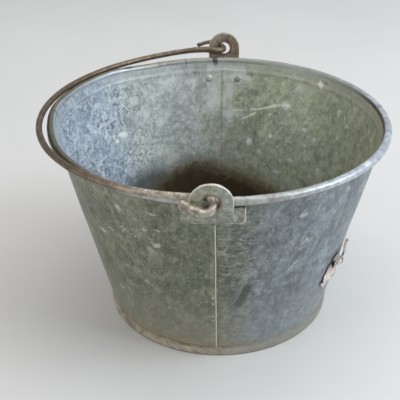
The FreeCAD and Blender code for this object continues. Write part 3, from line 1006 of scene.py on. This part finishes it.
def zinc_outside(name):
    """Aged zinc with painted reflection: greenish on the left, bluish on the right, dusty at the
    foot.
    """
    n = Nodes(name)
    warped = n.warp(60.0, 0.012)
    broad = n.noise(26.0, 5.0, 0.6, 0.4)
    flow = n.stretched((1.0, 1.0, 0.50), (0.5, 0.35, 0.0))
    cloud = n.noise(80.0, 7.0, 0.66, 1.2, vector=flow)
    wisps = n.noise(165.0, 5.0, 0.62, 2.4, vector=flow)
    mottle = n.noise(310.0, 4.0, 0.65, 1.4, vector=flow)
    broken = n.noise(230.0, 5.0, 0.65)
    fine = n.noise(560.0, 3.0, 0.62)

    tone = n.wobble(n.wobble(cloud, broad, 0.45), fine, 0.22)
    # painted reflection: a greenish copy of the zinc for the left side and a bluish one for the
    # right side, which faces the sky light
    olive_reflection = n.ramp(tone, (0.27, OLIVE_DARK), (0.50, OLIVE_MID), (0.78, OLIVE_PALE))
    blue_reflection = n.ramp(tone, (0.27, BLUE_DARK), (0.50, BLUE_MID), (0.78, BLUE_PALE))
    side = n.wobble(n.stored("olive_reflection"), broad, 0.6)
    n.colour = n.mix(side, blue_reflection, olive_reflection)
    n.spangle(185.0, warped, 0.36, 0.64, 0.45)
    n.spangle(60.0, warped, 0.45, 0.56, 0.4)
    # wisps and fine mottle in the zinc
    n.tint(OXIDE, wisps, 0.58, 0.70, 0.30)
    n.tint(DARK_TONE_AND_SHADE, wisps, 0.42, 0.31, 0.26)
    n.tint(OXIDE, mottle, 0.54, 0.66, 0.26)
    n.tint(DARK_TONE_AND_SHADE, mottle, 0.46, 0.34, 0.30)
    # wavy brush marks: thin strokes lying nearly level
    comb = n.noise(300.0, 4.0, 0.58, 0.8,
                   vector=n.stretched((0.50, 0.50, 1.6), vector=n.warp(42.0, 0.016)))
    brushed = n.stored("crackle")
    n.coat(OXIDE, n.times(n.span(comb, 0.54, 0.64), brushed), 0.34)
    n.coat(DARK_TONE_AND_SHADE, n.times(n.span(comb, 0.47, 0.37), brushed), 0.50)
    # small specks, here and there
    specks = n.cells(60.0, vector=n.warp(170.0, 0.009))
    n.coat(OXIDE, n.times(n.span(specks, 0.13, 0.08), n.span(broken, 0.50, 0.56)), 0.42)
    # painted shade: a little darker either side of the front seam
    n.coat(DARK_TONE_AND_SHADE, n.times(n.span(n.x, -0.095, -0.03), n.span(n.x, 0.10, 0.04)), 0.13)
    # oxide patches, scratches, dark marks and the blotchy rub mark
    n.coat(OXIDE, n.ragged("pale", broken, 0.9, 0.42, 0.66), 0.60)
    n.coat((0.72, 0.74, 0.72), n.ragged("scratch", broken, 1.0, 0.35, 0.75), 0.75)
    n.coat(DARK_TONE_AND_SHADE, n.ragged("marks_and_shadow", broken, 0.8, 0.35, 0.80), 0.60)
    n.coat(DARK_TONE_AND_SHADE, n.ragged("dark", broken, 1.1, 0.25, 0.90), 0.74)
    # paler towards the foot with painted light bounced from the floor, then tan dust at the foot,
    # with a brown line above the hem
    n.coat(n.mix(side, (0.40, 0.43, 0.45), (0.46, 0.44, 0.34)),
           n.span(n.height, 0.105, 0.015), 0.36)
    n.tint(n.mix(side, (0.300, 0.290, 0.250), TAN_DUST),
           n.wobble(n.stored("rust"), cloud, 0.8), 0.15, 0.95, 0.85)
    n.coat((0.130, 0.080, 0.035), n.times(n.span(n.height, 0.0135, 0.0090), side), 0.75)
    # painted highlights along the lock seam's edges, brightest on the edge facing right
    n.coat((0.78, 0.78, 0.70), n.ragged("edge_highlight", broken, 0.35, 0.25, 0.75), 0.85)
    return n.finish(n.span(tone, 0.35, 0.7, 0.42, 0.60), 0.45, (cloud, 0.28, 0.0008),
                    (wisps, 0.30, 0.0004), (comb, 0.20, 0.0003), (fine, 0.20, 0.0002))


def zinc_inside(name):
    """Aged zinc with painted reflection and light: bluish on the left, greenish on the right, with
    rust and painted shade at the bottom.
    """
    n = Nodes(name)
    warped = n.warp(120.0, 0.007)
    broad = n.noise(22.0, 5.0, 0.6, 0.4)
    cloud = n.noise(90.0, 7.0, 0.68, 0.8)
    lace = n.noise(135.0, 6.0, 0.66, 2.0, vector=warped)
    fine = n.noise(620.0, 3.0, 0.62)
    broken = n.noise(190.0, 5.0, 0.62)

    tone = n.wobble(n.wobble(cloud, broad, 0.45), fine, 0.25)
    # painted reflection and light: a bright bluish copy for the lit left side, grey in the middle,
    # greenish on the right
    olive_reflection = n.ramp(tone, (0.24, (0.240, 0.252, 0.160)), (0.50, (0.400, 0.412, 0.290)),
                   (0.80, (0.620, 0.635, 0.490)))
    blue_reflection = n.ramp(tone, (0.34, (0.265, 0.335, 0.430)), (0.50, (0.465, 0.560, 0.690)),
                  (0.68, (0.730, 0.820, 0.940)))
    grey = n.ramp(tone, (0.28, (0.330, 0.360, 0.345)), (0.50, (0.530, 0.570, 0.550)),
                  (0.74, (0.780, 0.820, 0.800)))
    side = n.wobble(n.stored("olive_reflection"), broad, 0.5)
    n.colour = n.mix(n.span(side, 0.0, 0.58), blue_reflection, grey)
    n.coat(olive_reflection, n.span(side, 0.62, 0.96))
    n.spangle(170.0, warped, 0.38, 0.63, 0.5)
    n.spangle(60.0, warped, 0.45, 0.56, 0.45)
    hatch = n.noise(300.0, 4.0, 0.6, 0.3, vector=n.stretched((1.6, 1.6, 0.5)))
    n.tint((0.70, 0.72, 0.60), hatch, 0.52, 0.68, 0.30)
    n.tint((0.13, 0.14, 0.10), hatch, 0.46, 0.32, 0.36)
    # lacy crackle: pale lace, slate between, drawn outlines
    crackle = n.times(n.stored("crackle"), n.span(n.noise(34.0, 4.0, 0.6), 0.36, 0.56, 0.25, 1.0))
    outline = n.cells(150.0, 'DISTANCE_TO_EDGE', vector=n.warp(150.0, 0.011))
    drawn = n.times(n.span(outline, 0.11, 0.02), n.span(broken, 0.42, 0.56))
    n.coat((0.84, 0.91, 0.98), n.times(n.span(lace, 0.52, 0.60), crackle), 0.70)
    n.coat((0.150, 0.190, 0.240), n.times(n.span(lace, 0.47, 0.38), crackle), 0.74)
    n.coat((0.100, 0.125, 0.160), n.times(drawn, crackle), 0.85)
    # fine flecks, pits and short vertical streaks everywhere
    n.coat((0.74, 0.76, 0.68), n.span(n.noise(270.0, 4.0, 0.6, 0.6), 0.58, 0.70), 0.42)
    n.coat((0.10, 0.11, 0.09), n.span(n.noise(300.0, 4.0, 0.6, 0.4), 0.60, 0.72), 0.42)
    streak = n.noise(120.0, 4.0, 0.6, 0.2, vector=n.stretched((1, 1, 0.12)))
    n.tint((0.15, 0.16, 0.13), streak, 0.56, 0.75, 0.35)
    # smoother band under the bead, with a painted highlight along the pressed groove at its lower
    # edge
    n.coat(n.mix(side, (0.47, 0.53, 0.57), (0.42, 0.43, 0.37)),
           n.span(n.height, 0.1895, 0.1915), 0.50)
    groove = n.times(n.span(n.height, 0.1880, 0.1890), n.span(n.height, 0.1912, 0.1902))
    n.coat((0.86, 0.90, 0.95), n.times(n.times(groove, n.span(broken, 0.46, 0.60)),
                                       n.span(side, 0.8, 0.2, 0.10, 0.60)))
    n.tint((0.235, 0.240, 0.140), n.x, 0.07, 0.15, 0.28)
    # small crisp specks, here and there
    specks = n.cells(68.0, vector=n.warp(170.0, 0.009))
    n.coat((0.80, 0.83, 0.74),
           n.times(n.span(specks, 0.15, 0.10), n.span(broken, 0.47, 0.53)), 0.60)
    # straight-edged light stretches beside the back seam
    n.coat((0.74, 0.78, 0.74), n.ragged("flat", broken, 0.7, 0.30, 0.60), 0.40)
    # larger pale and dark patches with broken edges
    pale = n.stored("pale")
    n.coat(n.mix(side, (0.74, 0.79, 0.84), (0.66, 0.69, 0.64)), pale, 0.28)
    n.coat(n.mix(side, (0.88, 0.93, 0.96), (0.70, 0.73, 0.67)),
           n.span(n.wobble(pale, broken, 1.1), 0.44, 0.51), 0.62)
    n.coat(n.mix(side, (0.92, 0.96, 0.98), (0.88, 0.88, 0.76)),
           n.ragged("scratch", broken, 1.4, 0.35, 0.80), 0.80)
    # dark marks, and one painted shadow line under the bead
    n.coat((0.075, 0.080, 0.065), n.ragged("marks_and_shadow", broken, 0.6, 0.30, 0.85), 0.66)
    # painted shade, slate-coloured, and rust with painted shade towards the bottom
    n.tint((0.080, 0.095, 0.100), n.wobble(n.stored("dark"), cloud, 0.6), 0.1, 0.95, 0.86)
    rust = n.wobble(n.stored("rust"), cloud, 0.9)
    n.tint((0.104, 0.067, 0.020), rust, 0.05, 0.60, 0.82)
    n.tint((0.036, 0.018, 0.003), rust, 0.38, 0.90, 0.96)

    dull = n.span(rust, 0.15, 0.70)
    rough = n.math('ADD', n.span(tone, 0.35, 0.7, 0.44, 0.60), n.times(dull, 0.30))
    return n.finish(rough, n.span(dull, 0.0, 1.0, 0.38, 0.0), (lace, 0.30, 0.0005),
                    (cloud, 0.22, 0.0008), (fine, 0.20, 0.0002))


def zinc_bead(name):
    """Rolled rim: thicker, smoother zinc, weathered and stained, with painted highlights and painted
    shade.
    """
    n = Nodes(name)
    cloud = n.noise(90.0, 5.0, 0.6, 0.6)
    fine = n.noise(480.0, 4.0, 0.6)
    stain = n.noise(38.0, 5.0, 0.65, 0.5)
    pale = n.ramp(cloud, (0.34, (0.240, 0.235, 0.200)), (0.52, (0.420, 0.420, 0.385)),
                  (0.72, (0.620, 0.630, 0.600)))
    highlight_blue = n.ramp(cloud, (0.34, (0.360, 0.400, 0.450)), (0.52, (0.490, 0.530, 0.575)),
                    (0.72, (0.700, 0.750, 0.800)))
    # painted highlight: a bright bluish copy of the zinc on the right, where the bead faces the
    # light
    right = n.span(n.x, 0.02, 0.13)
    left = n.span(n.x, -0.05, -0.14)
    n.colour = n.mix(right, pale, highlight_blue)
    # darker on the left: painted shade of the bail, and dirt
    n.coat((0.118, 0.102, 0.060), left, 0.86)
    n.coat((0.230, 0.208, 0.170), n.span(n.y, 0.04, 0.12), 0.60)
    # the side turned to the inside: painted light where it faces the light on the left, and on the
    # right darker, like the wall, with rust and painted shade
    rust_and_shade = n.times(right, n.span(n.y, 0.085, 0.03))
    inner = n.mix(left, (0.300, 0.315, 0.285), (0.400, 0.455, 0.500))
    inner = n.mix(rust_and_shade, inner, (0.115, 0.080, 0.045))
    low_edge = n.span(left, 0.0, 1.0, 0.25, 0.55)
    top_edge = n.span(left, 0.0, 1.0, 0.75, 0.95)
    # the top of the bead keeps the lit colour; the inward side takes the painted light and shade
    # above
    crown = n.math('SUBTRACT', n.wobble(n.stored("crown"), stain, 0.3), low_edge)
    blend = n.math('DIVIDE', crown, n.math('SUBTRACT', top_edge, low_edge), clamp=True)
    n.colour = n.mix(blend, inner, n.colour)
    # painted shadow between the bail and the outer side of the bead at left
    n.coat((0.045, 0.036, 0.020), n.times(n.stored("outer"), left), 0.80)
    n.tint((0.170, 0.135, 0.100), stain, 0.52, 0.70, 0.50)
    n.tint((0.11, 0.10, 0.09), fine, 0.55, 0.75, 0.5)
    n.tint((0.060, 0.052, 0.045), n.cells(55.0), 0.10, 0.04, 0.8)
    n.coat((0.035, 0.035, 0.032), n.span(n.stored("marks_and_shadow"), 0.35, 0.75), 0.85)
    return n.finish(n.span(cloud, 0.35, 0.7, 0.36, 0.52), 0.50,
                    (cloud, 0.25, 0.0006), (fine, 0.25, 0.0002))


def hem_zinc(name):
    n = Nodes(name)
    cloud = n.noise(70.0, 6.0, 0.62, 0.6)
    fine = n.noise(480.0, 4.0, 0.6)
    rust = n.noise(42.0, 6.0, 0.68, 0.7)
    n.colour = n.ramp(cloud, (0.34, (0.220, 0.195, 0.140)), (0.52, (0.380, 0.345, 0.265)),
                      (0.72, (0.540, 0.510, 0.420)))
    n.tint(RUST, rust, 0.52, 0.68, 0.60)
    n.tint((0.285, 0.280, 0.250), n.x, -0.02, 0.05, 0.8)
    n.tint(RUST_DARK, n.height, 0.0030, 0.0, 0.5)
    n.tint((0.07, 0.06, 0.045), fine, 0.45, 0.75, 0.4)
    return n.finish(n.span(rust, 0.45, 0.65, 0.5, 0.78), n.span(rust, 0.50, 0.66, 0.5, 0.1),
                    (rust, 0.35, 0.0006), (fine, 0.25, 0.0002))


def bottom_metal(name):
    """Bottom sheet: stained and rusted inside, dull zinc on the hem outside."""
    n = Nodes(name)
    cloud = n.noise(45.0, 6.0, 0.65, 0.8)
    pits = n.noise(210.0, 5.0, 0.65)
    radius = n.math('SQRT', n.math('ADD', n.times(n.x, n.x), n.times(n.y, n.y)))
    n.colour = n.ramp(cloud, (0.34, (0.250, 0.220, 0.160)), (0.52, (0.430, 0.390, 0.300)),
                      (0.72, (0.600, 0.565, 0.470)))
    n.tint(RUST, pits, 0.54, 0.70, 0.55)
    n.tint((0.290, 0.285, 0.255), n.x, -0.02, 0.05, 0.8)
    n.tint(RUST_DARK, n.height, 0.0026, 0.0004, 0.45)
    hem = n.colour
    n.colour = n.ramp(cloud, (0.34, (0.030, 0.020, 0.013)), (0.50, (0.082, 0.050, 0.028)),
                      (0.64, (0.140, 0.110, 0.078)), (0.76, (0.230, 0.225, 0.200)))
    n.tint(RUST, n.noise(18.0, 4.0, 0.6, 0.6), 0.50, 0.66, 0.6)
    n.tint(RUST_DARK, pits, 0.50, 0.70, 0.7)
    n.coat(hem, n.span(radius, 0.1125, 0.1138))
    return n.finish(n.span(cloud, 0.4, 0.7, 0.75, 0.5), n.span(cloud, 0.5, 0.75, 0.15, 0.5),
                    (pits, 0.35, 0.0005), (cloud, 0.30, 0.0008))


def cast_zinc(name, left, right, stained, highlight_tone, foot):
    """Ears and rivets: lumpy zinc over malleable iron. left and right are
    the middle colours on either side of the pail's seam; their difference is painted light and
    reflection."""
    n = Nodes(name)
    cloud = n.noise(150.0, 5.0, 0.64, 0.6)
    lumps = n.noise(320.0, 4.0, 0.6, 0.3)
    fine = n.noise(900.0, 3.0, 0.6)
    stain = n.noise(95.0, 5.0, 0.65, 0.8)
    n.colour = n.mix(n.span(n.wobble(n.x, stain, 0.030), -0.012, 0.020), left, right)
    n.coat(foot, n.span(n.wobble(n.height, stain, 0.012), 0.2050, 0.1985))
    n.shade(n.span(cloud, 0.34, 0.68, 0.28, 0.76), 0.75)
    n.tint(stained, stain, 0.56, 0.70, 0.50)
    n.tint((0.10, 0.095, 0.08), fine, 0.5, 0.75, 0.35)
    n.coat((0.135, 0.066, 0.030), n.times(n.stored("hook"), n.span(lumps, 0.30, 0.52)), 0.90)
    # painted highlight on the upper edges
    n.coat(highlight_tone, n.ragged("edge_highlight", cloud, 0.4, 0.30, 0.80), 0.75)
    return n.finish(n.span(cloud, 0.35, 0.7, 0.40, 0.58), 0.42,
                    (lumps, 0.40, 0.0005), (fine, 0.25, 0.0002))


def bail_steel(name):
    """Brown, dull wire with zinc left on the front hook."""
    n = Nodes(name)
    cloud = n.noise(110.0, 5.0, 0.62, 0.4)
    lumps = n.noise(260.0, 4.0, 0.62, 0.3)
    fine = n.noise(1100.0, 3.0, 0.6)
    hook = n.stored("hook")
    n.colour = n.ramp(cloud, (0.26, (0.098, 0.070, 0.045)), (0.50, (0.164, 0.120, 0.080)),
                      (0.78, (0.290, 0.240, 0.215)))
    n.tint((0.150, 0.118, 0.078), n.noise(30.0, 5.0, 0.65, 0.6), 0.50, 0.66, 0.6)
    n.coat(n.ramp(lumps, (0.32, (0.230, 0.195, 0.145)), (0.52, (0.450, 0.405, 0.330)),
                  (0.68, (0.680, 0.640, 0.560))), hook)
    n.coat((0.150, 0.080, 0.042), n.times(hook, n.span(n.noise(150.0, 5.0, 0.6), 0.52, 0.64)), 0.40)
    n.tint((0.06, 0.05, 0.045), fine, 0.5, 0.75, 0.4)
    return n.finish(n.span(cloud, 0.35, 0.7, 0.52, 0.36), 0.75,
                    (lumps, 0.35, 0.0004), (fine, 0.3, 0.0002))


def old_paint(name):
    n = Nodes(name)
    cloud = n.noise(120.0, 5.0, 0.6, 0.5)
    dirt = n.noise(260.0, 5.0, 0.66, 0.4)
    n.colour = n.ramp(cloud, (0.34, (0.540, 0.450, 0.410)), (0.52, (0.720, 0.640, 0.600)),
                      (0.72, (0.850, 0.800, 0.780)))
    # the upper end has lost its colour and gone brown
    n.coat((0.200, 0.150, 0.115), n.span(n.wobble(n.height, dirt, 0.010), 0.068, 0.078), 0.75)
    n.tint((0.135, 0.075, 0.038), n.wobble(n.stored("edge"), dirt, 1.1), 0.72, 1.05, 0.9)
    n.tint((0.26, 0.18, 0.12), dirt, 0.62, 0.74, 0.6)
    return n.finish(0.72, 0.0, (dirt, 0.4, 0.0003), specular=0.3)


def wire_steel(name):
    n = Nodes(name)
    fine = n.noise(900.0, 3.0, 0.6)
    n.colour = n.ramp(n.noise(120.0, 4.0, 0.6), (0.35, (0.16, 0.155, 0.145)),
                      (0.70, (0.34, 0.335, 0.32)))
    return n.finish(n.span(fine, 0.3, 0.7, 0.4, 0.6), 0.6, (fine, 0.2, 0.0002))


def floor_paint(name):
    n = Nodes(name)
    fine = n.noise(220.0, 3.0, 0.6)
    n.colour = n.ramp(n.noise(3.0, 4.0, 0.6), (0.3, (0.70, 0.69, 0.67)), (0.7, (0.75, 0.74, 0.72)))
    return n.finish(n.span(fine, 0.3, 0.7, 0.6, 0.75), 0.0, (fine, 0.05, 0.0003), specular=0.3)


# ---- build --------------------------------------------------------------
# Sections of the beads at the bottom: radius, height.
SOLDER_SECTION = [(110.2, 6.85), (111.6, 6.9), (112.8, 7.6), (113.6, 9.4), (113.9, 10.9),
                  (113.5, 10.6), (112.7, 9.0), (111.6, 7.9), (110.4, 7.25)]
HEM_SECTION = [(114.05, 8.0), (114.7, 8.1), (115.0, 8.6), (114.75, 9.3), (114.4, 10.2),
               (114.15, 10.4)]

outside = zinc_outside("zinc_outside")
inside = zinc_inside("zinc_inside")
bead = zinc_bead("zinc_bead")
front_cast = cast_zinc("cast_zinc_front", left=(0.375, 0.370, 0.285), right=(0.370, 0.378, 0.345),
                       stained=(0.185, 0.165, 0.115), highlight_tone=(0.760, 0.710, 0.640),
                       foot=(0.300, 0.308, 0.255))
back_cast = cast_zinc("cast_zinc_back", left=(0.340, 0.276, 0.222), right=(0.205, 0.155, 0.100),
                      stained=(0.185, 0.150, 0.110), highlight_tone=(0.500, 0.435, 0.420),
                      foot=(0.440, 0.385, 0.320))
rivet_cast = cast_zinc("cast_zinc_rivets", left=(0.360, 0.382, 0.362), right=(0.500, 0.510, 0.450),
                       stained=(0.330, 0.335, 0.290), highlight_tone=(0.500, 0.510, 0.450),
                       foot=(0.430, 0.445, 0.400))

for name, start, node, slot in (
        ("wall_left", -180.0, "body_panel_left", "galvanised_left"),
        ("wall_right", 0.0, "body_panel_right", "galvanised_right")):
    wall = build_wall(name, start, start + 180.0)
    for material in (outside, inside, bead):
        wall.data.materials.append(material)
    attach(wall, "pail")
    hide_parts(node)

for name, centre, slot in (("seam_front", 0.0, "galvanised_right"),
                           ("seam_back", 180.0, "galvanised_left")):
    seam = build_outer_seam(name, centre)
    seam.data.materials.append(outside)
    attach(seam, "pail")
    joint = build_inner_seam(name + "_inside", centre)
    joint.data.materials.append(inside)
    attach(joint, "pail")

bottom = build_bottom("bottom_sheet")
bottom.data.materials.append(bottom_metal("bottom_metal"))
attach(bottom, "pail")
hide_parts("bottom_pan")

solder = build_ring("solder_inside", SOLDER_SECTION, 0.10, 12.0)
solder.data.materials.append(bpy.data.materials["bottom_metal"])
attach(solder, "pail")

hem_line = build_ring("hem_zinc_line", HEM_SECTION, 0.12, 15.0)
hem_line.data.materials.append(hem_zinc("hem_zinc"))
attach(hem_line, "pail")

for name, node, seed, cast in (
        ("ear_front_cast", "ear_front", 2.0, front_cast),
        ("ear_back_cast", "ear_back", 5.0, back_cast)):
    ear = cast_copy(node, name, 0.55, 6, 0.14, seed)
    ear.data.materials.append(cast)
    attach(ear, "pail")
    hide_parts(node)

wire = build_rim_wire("rim_wire_bent")
wire.data.materials.append(wire_steel("wire_steel"))
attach(wire, "pail")
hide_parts("rim_wire")

bail = build_bail("bail_wire")
bail.data.materials.append(bail_steel("bail_steel"))
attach(bail, "bail")
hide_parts("bail")

for name, centre, cast in (("solder_front", 0.0, front_cast),
                           ("solder_back", 180.0, back_cast)):
    line = build_plate_solder(name, centre)
    line.data.materials.append(cast)
    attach(line, "pail")

flakes = build_flakes("old_paint_flakes")
flakes.data.materials.append(old_paint("old_paint"))
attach(flakes, "pail")

for node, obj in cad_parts.items():
    if node.startswith("rivet"):
        obj.data.materials.clear()
        obj.data.materials.append(rivet_cast)


# ---- floor, light, camera -----------------------------------------------
def floor():
    bm = bmesh.new()
    bmesh.ops.create_grid(bm, x_segments=24, y_segments=24, size=3.0)
    mesh = bpy.data.meshes.new("floor")
    bm.to_mesh(mesh)
    bm.free()
    mesh.materials.append(floor_paint("floor_paint"))
    obj = add_object("floor", mesh)


def area_light(name, position, target, size, power, colour):
    light = bpy.data.lights.new(name, 'AREA')
    light.shape = 'RECTANGLE'
    light.size, light.size_y = size
    light.energy = power
    light.color = colour
    obj = add_object(name, light)
    obj.location = position
    direction = Vector(target) - Vector(position)
    obj.rotation_euler = direction.to_track_quat('-Z', 'Y').to_euler()


floor()
area_light("key_right", (1.5, -0.35, 1.35), (0.0, 0.0, 0.12), (1.3, 1.3),
           27.0, (0.86, 0.94, 1.0))
area_light("top_soft", (0.1, 0.4, 1.9), (0.0, 0.0, 0.1), (1.8, 1.8),
           14.0, (1.0, 0.99, 0.97))
area_light("fill_left", (-1.6, -0.9, 0.9), (0.0, 0.0, 0.1), (1.4, 1.4),
           9.0, (1.0, 0.96, 0.86))

world = bpy.data.worlds.new("studio")
world.use_nodes = True
surround = world.node_tree.nodes["Background"]
surround.inputs["Color"].default_value = (0.92, 0.94, 1.0, 1.0)
surround.inputs["Strength"].default_value = 0.46
bpy.context.scene.world = world
bpy.context.scene.view_settings.view_transform = 'Standard'

CAMERA_AT = (0.0225, -0.7142, 0.5209)
yaw, pitch, roll = (math.radians(a) for a in (-3.34, 29.98, -0.52))
forward = Vector((math.sin(yaw) * math.cos(pitch),
                  math.cos(yaw) * math.cos(pitch), -math.sin(pitch)))
right = Vector((math.cos(yaw), -math.sin(yaw), 0.0))
up = right.cross(forward)
side_axis = right * math.cos(roll) + up * math.sin(roll)
up_axis = up * math.cos(roll) - right * math.sin(roll)
camera_data = bpy.data.cameras.new("camera")
camera_data.lens = 72.0
camera_data.sensor_width = 36.0
camera = add_object("camera", camera_data)
turn = Matrix((side_axis, up_axis, -forward)).transposed().to_4x4()
camera.matrix_world = Matrix.Translation(CAMERA_AT) @ turn
bpy.context.scene.camera = camera
